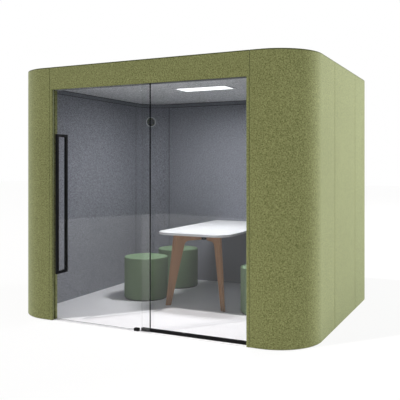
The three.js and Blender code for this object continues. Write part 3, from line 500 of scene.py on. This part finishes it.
def floor_sheet():
    """Pale resilient floor with a fine speckle."""
    finish = Finish("floor_sheet")
    speckle = finish.noise(240.0, detail=3.0, roughness=0.7)
    cloud = finish.noise(2.2, detail=3.0)
    share = finish.spread(speckle * 0.7 + cloud * 0.3, low=0.35, high=0.65)
    return finish.show(finish.principled({
        "Base Color": finish.mix(share, linear(231, 231, 235), linear(243, 243, 246)),
        "Roughness": 0.5 + 0.15 * speckle,
        "Normal": finish.bump(speckle, depth=0.0002, strength=0.3),
    }))


def rough_board():
    finish = Finish("rough_board")
    strands = finish.noise(35.0, detail=5.0, roughness=0.7, stretch=(1.0, 0.4, 1.0))
    share = finish.spread(strands, low=0.35, high=0.65)
    return finish.show(finish.principled({
        "Base Color": finish.mix(share, linear(74, 77, 81), linear(92, 95, 99)),
        "Roughness": 0.85,
        "Normal": finish.bump(strands, depth=0.0006, strength=0.5),
    }))


def mineral_wool():
    finish = Finish("mineral_wool")
    strands = finish.noise(120.0, detail=5.0, roughness=0.75, stretch=(1.0, 1.0, 0.3))
    return finish.show(finish.principled({
        "Base Color": finish.mix(strands, linear(176, 164, 120), linear(222, 212, 176)),
        "Roughness": 1.0,
        "Normal": finish.bump(strands, depth=0.003, strength=0.8),
    }))


def soft_rubber():
    finish = Finish("soft_rubber")
    dust = finish.noise(300.0, detail=3.0, roughness=0.7)
    dusty = finish.spread(dust, low=0.5, high=0.9)
    return finish.show(finish.principled({
        "Base Color": finish.mix(dusty, linear(26, 26, 28), linear(52, 52, 54)),
        "Roughness": 0.75 + 0.15 * dust,
        "Normal": finish.bump(dust, depth=0.0002, strength=0.4),
    }))


def lit_diffuser():
    """Opal sheet that glows evenly, with a fine grain."""
    finish = Finish("lit_diffuser")
    grain = finish.noise(900.0)
    return finish.show(finish.principled({
        "Base Color": WHITE,
        "Roughness": 0.4 + 0.2 * grain,
        "Emission Color": finish.mix(grain, linear(250, 252, 255), WHITE),
        "Emission Strength": 1.3,
    }))


def pane_glass(name, node, edge_dark, edge_pale, edge_cover, border):
    """Clear glass: see-through faces with a mirror that grows at a slant, polished edges, and a dark border
    along the right edge."""
    finish = Finish(name)
    slant = finish.node("ShaderNodeLayerWeight", None, {"Blend": 0.5}, "Facing")
    mirror_share = MIRROR_STRAIGHT + MIRROR_SLANT * slant ** MIRROR_RISE
    clear = finish.node("ShaderNodeBsdfTransparent", None, {"Color": CLEAR_TINT})
    mirror = finish.node("ShaderNodeBsdfGlossy", None, {"Color": WHITE, "Roughness": 0.0})
    face = finish.blend(mirror_share, clear, mirror)
    on_face = abs(finish.facing("Y")) > 0.5
    on_edge = edge_cover * (1.0 - on_face)
    on_border = finish.along("X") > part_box(node)[1].x - border
    edge_share = on_edge + on_border - on_edge * on_border
    ripple = finish.noise(60.0, stretch=(1.0, 1.0, 0.2))
    edge = finish.principled({
        "Base Color": finish.mix(ripple, edge_dark, edge_pale),
        "Roughness": 0.2,
    })
    return finish.show(finish.blend(edge_share, face, edge))


def sewing_thread():
    finish = Finish("sewing_thread")
    twist = finish.noise(900.0)
    return finish.show(finish.principled({
        "Base Color": finish.mix(twist, linear(82, 104, 80), linear(118, 142, 114)),
        "Roughness": 0.7,
        "Normal": finish.bump(twist, depth=0.0002, strength=0.5),
    }))


FINISHES = {
    "green_felt": panel_felt(),
    "grey_felt": lining_felt(),
    "ceiling_felt": ceiling_felt(),
    "trim_felt": trim_felt(),
    "stool_felt": stool_felt(),
    "stool_thread": sewing_thread(),
    "insulation": mineral_wool(),
    "floor": floor_sheet(),
    "diffuser": lit_diffuser(),
    "dark_plastic": moulded_plastic("dark_plastic", linear(30, 31, 33), linear(40, 41, 44)),
    "pale_plastic": moulded_plastic("pale_plastic", linear(176, 179, 183), linear(190, 192, 196)),
    "grey_plastic": moulded_plastic("grey_plastic", linear(84, 87, 91), linear(98, 101, 105)),
    "steel": drawn_metal("steel", linear(136, 140, 143), 0.4),
    "black_metal": powder_coat("black_metal", linear(12, 12, 14), linear(26, 26, 28), 0.16),
    "grey_metal": powder_coat("grey_metal", linear(96, 98, 101), linear(108, 110, 113), 0.5),
    "white_metal": powder_coat("white_metal", linear(226, 227, 228), linear(212, 213, 214), 0.5),
    "aluminium": drawn_metal("aluminium", linear(188, 191, 195), 0.3),
    "glass": pane_glass("glass", "door_glass", linear(10, 12, 13), linear(22, 25, 26), 1.0, DOOR_BORDER),
    "fixed_pane": pane_glass(
        "fixed_pane", "fixed_glass", linear(150, 158, 160), linear(180, 187, 188), 0.15, 0.0,
    ),
    "rubber": soft_rubber(),
    "roof_board": rough_board(),
    "white_top": white_laminate(),
    "wood": oiled_wood(),
}
SPECIAL_FINISH = {"fixed_glass": "fixed_pane", "top_channel": "grey_metal"}


# Pieces

def add_piece(name, mesh, finish, slot, body, *stands_for):
    piece = bpy.data.objects.new(name, mesh)
    bpy.context.scene.collection.objects.link(piece)
    mesh.materials.clear()
    mesh.materials.append(FINISHES[finish])
    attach(piece, body)
    if stands_for:
        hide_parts(*stands_for)
    return piece


def body_holding(node):
    bodies = frame["record"]["behaviour"]["bodies"]
    return next(body for body, members in bodies.items() if node in members)


def smooth_copy(node):
    """A welded copy of a CAD shape whose rounded edges shade as rounds."""
    mesh = bpy.data.meshes.new(node + "_smooth")
    shape = bmesh.new()
    shape.from_mesh(nodes[node].data)
    bmesh.ops.remove_doubles(shape, verts=shape.verts, dist=WELD)
    shape.to_mesh(mesh)
    shape.free()
    mesh.shade_smooth()
    mesh.set_sharp_from_angle(angle=math.radians(SHARP_DEGREES))
    slot = slot_of[node]
    piece = add_piece(node + "_dressed", mesh, slot, slot, body_holding(node), node)
    weighted = piece.modifiers.new("flat_faces_stay_flat", "WEIGHTED_NORMAL")
    weighted.keep_sharp = True


PLACES = ("front_left", "front_right", "back_left", "back_right")
STOOLS = [place + "_stool" for place in PLACES]
SMOOTHED = (
    [place + "_corner_panel" for place in PLACES]
    + [place + "_lining" for place in PLACES]
    + ["table_left_leg", "table_right_leg", "table_top", "light_driver"]
    + ["left_side_panel", "right_side_panel", "back_panel", "header_panel", "left_jamb", "right_jamb"]
    + ["left_lining", "right_lining", "back_lining", "header_fascia", "ceiling_trim"]
    + ["outer_handle", "inner_handle", "vent_ring", "vent_grille", "fan_housing", "fan_rotor"]
    + ["roof_outlet", "left_rollers", "right_rollers"]
)


def dress_nodes():
    for name, node in nodes.items():
        if name in SMOOTHED:
            smooth_copy(name)
            continue
        finish = SPECIAL_FINISH.get(name, slot_of[name])
        for slot in node.material_slots:
            slot.material = FINISHES[finish]


# Stools

def ring_faces(rows, segments):
    """Quads between neighbouring rows of points, each row once round."""
    faces = []
    for ring in range(rows - 1):
        low, high = ring * segments, (ring + 1) * segments
        for step in range(segments):
            after = (step + 1) % segments
            faces.append((low + step, low + after, high + after, high + step))
    return faces


def turned_mesh(name, profile, segments):
    """A closed turned form: the profile runs from the bottom's middle to the top's middle."""
    points = []
    for radius, height in profile:
        for step in range(segments):
            angle = 2 * math.pi * step / segments
            points.append((radius * math.cos(angle), radius * math.sin(angle), height))
    faces = ring_faces(len(profile), segments)
    last = (len(profile) - 1) * segments
    faces.append(tuple(reversed(range(segments))))
    faces.append(tuple(range(last, last + segments)))
    mesh = bpy.data.meshes.new(name)
    mesh.from_pydata(points, [], faces)
    return mesh


def cover_profile(radius, bottom, top):
    """Radius and height of each ring, and the number of the ring that is sewn."""
    smallest = radius / (COVER_TOP_RINGS * 2)
    rim_low = top - COVER_CROWN - COVER_RIM_ROUND
    side_low = bottom + COVER_HEM
    flat = radius - COVER_RIM_ROUND
    rings = [(smallest, bottom), (radius * 0.5, bottom), (flat, bottom)]
    for step in range(COVER_SIDE_RINGS):
        share = step / (COVER_SIDE_RINGS - 1)
        rings.append((radius, side_low + (rim_low - side_low) * share))
    sewn = len(rings) + 1
    for step in range(1, COVER_RIM_RINGS + 1):
        turn = math.pi / 2 * step / COVER_RIM_RINGS
        reach = flat + COVER_RIM_ROUND * math.cos(turn)
        rings.append((reach, rim_low + COVER_RIM_ROUND * math.sin(turn)))
    for step in range(1, COVER_TOP_RINGS + 1):
        share = 1.0 - step / COVER_TOP_RINGS
        reach = max(flat * share, smallest)
        rings.append((reach, top - COVER_CROWN * (reach / flat) ** 2))
    return rings, sewn


def swollen(mesh, sewn_points):
    """The cover's points after pressure from the foam, none moved further than the fabric gives."""
    holder = bpy.data.objects.new("cover_cloth", mesh)
    scene = bpy.context.scene
    scene.collection.objects.link(holder)
    sewn = holder.vertex_groups.new(name="sewn")
    sewn.add(sewn_points, 1.0, "REPLACE")
    cloth = holder.modifiers.new("cloth", "CLOTH").settings
    cloth.quality = COVER_QUALITY
    cloth.mass = COVER_MASS
    cloth.vertex_group_mass = sewn.name
    cloth.use_pressure = True
    cloth.uniform_pressure_force = COVER_PRESSURE
    cloth.effector_weights.gravity = 0.0
    for number in range(1, COVER_FRAMES + 1):
        scene.frame_set(number)
    graph = bpy.context.evaluated_depsgraph_get()
    moved = [vertex.co.copy() for vertex in holder.evaluated_get(graph).data.vertices]
    scene.frame_set(1)
    points = []
    for vertex, place in zip(mesh.vertices, moved):
        step = place - vertex.co
        step.length = min(step.length, COVER_SWELL)
        points.append(vertex.co + step)
    bpy.data.objects.remove(holder)
    return points


def stool_cover(radius, bottom, top):
    rings, sewn = cover_profile(radius - COVER_START, bottom, top - COVER_START)
    mesh = turned_mesh("stool_cover", rings, COVER_SEGMENTS)
    sewn_rings = [*range(COVER_FOOT_RINGS), sewn]
    sewn_points = [ring * COVER_SEGMENTS + step for ring in sewn_rings for step in range(COVER_SEGMENTS)]
    for vertex, place in zip(mesh.vertices, swollen(mesh, sewn_points)):
        vertex.co = place
    return mesh


def stitch_pattern():
    """Stitches laid end to end along a sewn line."""
    pattern = Pattern("stitches", "Pitch", "Length", "Radius")
    line = pattern.node("GeometryNodeMeshToCurve", None, {"Mesh": pattern.given("Guide")})
    sockets = {"Curve": line, "Length": pattern.given("Pitch")}
    points = pattern.node("GeometryNodeCurveToPoints", {"mode": "LENGTH"}, sockets)
    turn = Value(pattern, points.socket.node.outputs["Rotation"])
    bead = pattern.node("GeometryNodeMeshUVSphere", None, {"Segments": 6, "Rings": 4, "Radius": 1.0})
    radius = pattern.given("Radius")
    half = pattern.given("Length") * 0.5
    size = pattern.node("ShaderNodeCombineXYZ", None, {"X": radius, "Y": radius, "Z": half})
    copies = pattern.node("GeometryNodeInstanceOnPoints", None, {
        "Points": points, "Instance": bead, "Rotation": turn, "Scale": size,
    })
    pattern.close(copies)
    return pattern


def ring_guide(name, radius, height):
    points = []
    for step in range(COVER_SEGMENTS):
        angle = 2 * math.pi * step / COVER_SEGMENTS
        points.append((radius * math.cos(angle), radius * math.sin(angle), height))
    edges = [(step, (step + 1) % COVER_SEGMENTS) for step in range(COVER_SEGMENTS)]
    mesh = bpy.data.meshes.new(name)
    mesh.from_pydata(points, edges, [])
    return mesh


def placed(mesh, name, x, y):
    copy = mesh.copy()
    copy.name = name
    copy.transform(Matrix.Translation((x, y, 0.0)))
    return copy


def build_stools():
    low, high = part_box(STOOLS[0])
    radius = (high.x - low.x) / 2
    skirt = low.z + PLINTH_HEIGHT
    cover_mesh = stool_cover(radius, skirt, high.z)
    cover_mesh.shade_smooth()
    inner = radius - PLINTH_INSET
    plinth_top = skirt - PLINTH_GAP
    plinth_rings = [
        (inner / 2, low.z), (inner - PLINTH_ROUND, low.z), (inner, low.z + PLINTH_ROUND),
        (inner, plinth_top), (inner / 2, plinth_top),
    ]
    plinth_mesh = turned_mesh("plinth", plinth_rings, COVER_SEGMENTS)
    line = ring_guide("stitch_line", radius - STITCH_RADIUS, high.z - STITCH_DROP)
    sizes = {"Pitch": STITCH_PITCH, "Length": STITCH_LENGTH, "Radius": STITCH_RADIUS}
    stitch_mesh = stitch_pattern().grow(line, FINISHES["stool_thread"], sizes)
    for stool in STOOLS:
        low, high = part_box(stool)
        x, y = (low.x + high.x) / 2, (low.y + high.y) / 2
        cover = placed(cover_mesh, stool + "_cover", x, y)
        piece = add_piece(stool + "_cover", cover, "stool_felt", "stool_felt", stool, stool)
        finer = piece.modifiers.new("finer", "SUBSURF")
        finer.levels = finer.render_levels = 1
        foot = placed(plinth_mesh, stool + "_plinth", x, y)
        add_piece(stool + "_plinth", foot, "dark_plastic", "dark_plastic", stool)
        seam_shade = placed(stitch_mesh, stool + "_stitches", x, y)
        add_piece(stool + "_stitches", seam_shade, "stool_thread", "stool_felt", stool)


# Screws

def screw_pattern():
    """Round heads with a sunk socket, one on each point, turned along its facing."""
    pattern = Pattern("screws", "Radius", "Head")
    radius, head = pattern.given("Radius"), pattern.given("Head")
    cone = pattern.node("GeometryNodeMeshCone", None, {
        "Vertices": SCREW_SIDES, "Radius Top": radius * SCREW_TOP_SHARE, "Radius Bottom": radius,
        "Depth": head,
    })
    top = Value(pattern, cone.socket.node.outputs["Top"])
    rim = pattern.node("GeometryNodeExtrudeMesh", {"mode": "FACES"}, {
        "Mesh": cone, "Selection": top, "Offset Scale": 0.0,
    })
    floor = Value(pattern, rim.socket.node.outputs["Top"])
    narrow = pattern.node("GeometryNodeScaleElements", None, {
        "Geometry": rim, "Selection": floor, "Scale": SOCKET_WIDTH_SHARE,
    })
    sunk = pattern.node("GeometryNodeExtrudeMesh", {"mode": "FACES"}, {
        "Mesh": narrow, "Selection": floor, "Offset Scale": head * -SOCKET_DEPTH_SHARE,
    })
    kind = {"data_type": "FLOAT_VECTOR"}
    facing = pattern.node("GeometryNodeInputNamedAttribute", kind, {"Name": "facing"})
    turn = pattern.node("FunctionNodeAlignRotationToVector", {"axis": "Z"}, {"Vector": facing})
    copies = pattern.node("GeometryNodeInstanceOnPoints", None, {
        "Points": pattern.given("Guide"), "Instance": sunk, "Rotation": turn,
    })
    pattern.close(copies)
    return pattern


def screw_guide(name, spots):
    mesh = bpy.data.meshes.new(name)
    mesh.from_pydata([place for place, facing in spots], [], [])
    facing = mesh.attributes.new("facing", "FLOAT_VECTOR", "POINT")
    facing.data.foreach_set("vector", [part for place, way in spots for part in way])
    return mesh


UP, DOWN, TO_FRONT = (0.0, 0.0, 1.0), (0.0, 0.0, -1.0), (0.0, -1.0, 0.0)


def row(start, end, count):
    return [start + (end - start) * step / (count - 1) for step in range(count)]


def roof_screws():
    low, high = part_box("roof_panel")
    left, right = low.x + ROOF_SCREW_INSET, high.x - ROOF_SCREW_INSET
    front, back = low.y + ROOF_SCREW_INSET, high.y - ROOF_SCREW_INSET
    bend = ROOF_SCREW_PITCH
    across = row(left + bend, right - bend, round((right - left) / ROOF_SCREW_PITCH) - 1)
    along = row(front + bend, back - bend, round((back - front) / ROOF_SCREW_PITCH) - 1)
    places = [(x, y, high.z) for x in across for y in (front, back)]
    places += [(x, y, high.z) for x in (left, right) for y in along]
    return [(place, UP) for place in places]


def outlet_screws():
    low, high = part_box("roof_outlet")
    middle = (low + high) / 2
    reach = (high.x - low.x) / 2 - SCREW_RADIUS - OUTLET_SCREW_EDGE
    spots = []
    for number in range(OUTLET_SCREWS):
        angle = 2 * math.pi * (number + 0.5) / OUTLET_SCREWS
        place = (middle.x + reach * math.cos(angle), middle.y + reach * math.sin(angle), high.z)
        spots.append((place, UP))
    return spots


def table_screws():
    low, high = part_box("table_wall_bracket")
    spots = []
    for x in row(low.x + WALL_SCREW_END, high.x - WALL_SCREW_END, WALL_SCREWS):
        spots.append(((x, low.y + WALL_SCREW_EDGE, high.z - WALL_PLATE), DOWN))
        spots.append(((x, high.y - WALL_PLATE, low.z + WALL_SCREW_EDGE), TO_FRONT))
    low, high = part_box("table_leg_bracket")
    for x in (low.x + LEG_SCREW_EDGE, high.x - LEG_SCREW_EDGE):
        for inset in LEG_SCREW_ROWS:
            spots.append(((x, high.y - inset, high.z - LEG_PLATE), DOWN))
    return spots


def build_screws():
    pattern = screw_pattern()
    sizes = {"Radius": SCREW_RADIUS, "Head": SCREW_HEAD}
    groups = {
        "roof_screws": (roof_screws(), "steel"),
        "outlet_screws": (outlet_screws(), "black_metal"),
        "table_screws": (table_screws(), "steel"),
    }
    for name, (spots, finish) in groups.items():
        mesh = pattern.grow(screw_guide(name, spots), FINISHES[finish], sizes)
        add_piece(name, mesh, finish, finish, "pod")


# Studio

def add_lamp(name, lamp, place, aim):
    lamp_object = bpy.data.objects.new(name, lamp)
    lamp_object.location = place
    lamp_object.rotation_euler = (Vector(aim) - Vector(place)).to_track_quat("-Z", "Y").to_euler()
    bpy.context.scene.collection.objects.link(lamp_object)


def area_lamp(name, power, size):
    lamp = bpy.data.lights.new(name, "AREA")
    lamp.shape = "RECTANGLE"
    lamp.size, lamp.size_y = size
    lamp.energy = power
    return lamp


def light_studio():
    sun = bpy.data.lights.new("sun", "SUN")
    sun.energy = SUN_POWER
    sun.color = SUN_COLOUR
    sun.angle = math.radians(SUN_SOFTNESS)
    height = math.radians(SUN_HEIGHT)
    turn = math.radians(SUN_FROM_LEFT)
    flat = math.cos(height)
    towards = Vector((-math.sin(turn) * flat, -math.cos(turn) * flat, math.sin(height)))
    add_lamp("sun", sun, towards, (0.0, 0.0, 0.0))
    for name, (place, power) in SIDE_LAMPS.items():
        add_lamp(name, area_lamp(name, power, SIDE_LAMP_SIZE), place, SIDE_LAMP_AIM)

    low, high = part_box("light_diffuser")
    frame_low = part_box("light_frame")[0]
    x, y = (low.x + high.x) / 2, (low.y + high.y) / 2
    ceiling_lamp = area_lamp("ceiling_lamp", CEILING_LAMP_POWER, (high.x - low.x, high.y - low.y))
    ceiling_lamp.spread = math.radians(CEILING_LAMP_SPREAD)
    add_lamp("ceiling_lamp", ceiling_lamp, (x, y, frame_low.z - LAMP_GAP), (x, y, 0.0))

    world = bpy.data.worlds.new("studio")
    world.use_nodes = True
    bpy.context.scene.world = world
    shader = Shader(world.node_tree)
    glow = shader.node("ShaderNodeBackground", None, {"Color": WHITE, "Strength": STUDIO_GLOW})
    backdrop = shader.node("ShaderNodeBackground", None, {"Color": WHITE, "Strength": 1.0})
    shader.node("ShaderNodeOutputWorld", None, {"Surface": shader.blend(shader.seen(), glow, backdrop)})


def stage_sheet(name, corners, material):
    mesh = bpy.data.meshes.new(name)
    faces = [tuple(range(start, start + 4)) for start in range(0, len(corners), 4)]
    mesh.from_pydata(corners, [], faces)
    mesh.materials.append(material)
    sheet = bpy.data.objects.new(name, mesh)
    bpy.context.scene.collection.objects.link(sheet)
    return sheet


def studio_floor():
    finish = Finish("studio_floor")
    paint = finish.principled({"Base Color": linear(232, 232, 232), "Roughness": 0.9})
    white = finish.node("ShaderNodeEmission", None, {"Color": WHITE, "Strength": 1.0})
    shown = finish.seen() * (1.0 - FLOOR_SHADOW)
    material = finish.show(finish.blend(shown, paint, white))
    signs = ((-1, -1), (1, -1), (1, 1), (-1, 1))
    corners = [(x * FLOOR_HALF, y * FLOOR_HALF, -FLOOR_DROP) for x, y in signs]
    stage_sheet("studio_floor", corners, material)


def reflection_card():
    finish = Finish("card_grey")
    material = finish.show(finish.principled({"Base Color": linear(30, 31, 33), "Roughness": 1.0}))
    corners = []
    for end in CARD_ENDS:
        foot = [(*CARD_CORNER, 0.0), (*end, 0.0)]
        head = [(*end, CARD_HEIGHT), (*CARD_CORNER, CARD_HEIGHT)]
        corners += foot + head
    card = stage_sheet("reflection_card", corners, material)
    card.visible_camera = False
    card.visible_diffuse = False
    card.visible_shadow = False
    card.visible_transmission = False


def aim_camera():
    camera = bpy.data.cameras.new("camera")
    camera.sensor_width = SENSOR
    camera.lens = FOCAL_PIXELS * SENSOR / PHOTO_SIZE
    camera.shift_x = (PHOTO_SIZE / 2 - CENTRE_PIXEL[0]) / PHOTO_SIZE
    camera.shift_y = (CENTRE_PIXEL[1] - PHOTO_SIZE / 2) / PHOTO_SIZE
    camera_object = bpy.data.objects.new("camera", camera)
    camera_object.location = CAMERA_PLACE
    camera_object.rotation_euler = (math.pi / 2, 0.0, CAMERA_TURN)
    bpy.context.scene.collection.objects.link(camera_object)
    bpy.context.scene.camera = camera_object


bpy.context.scene.view_settings.view_transform = "Standard"
aim_camera()
dress_nodes()
build_stools()
build_screws()
light_studio()
studio_floor()
reflection_card()
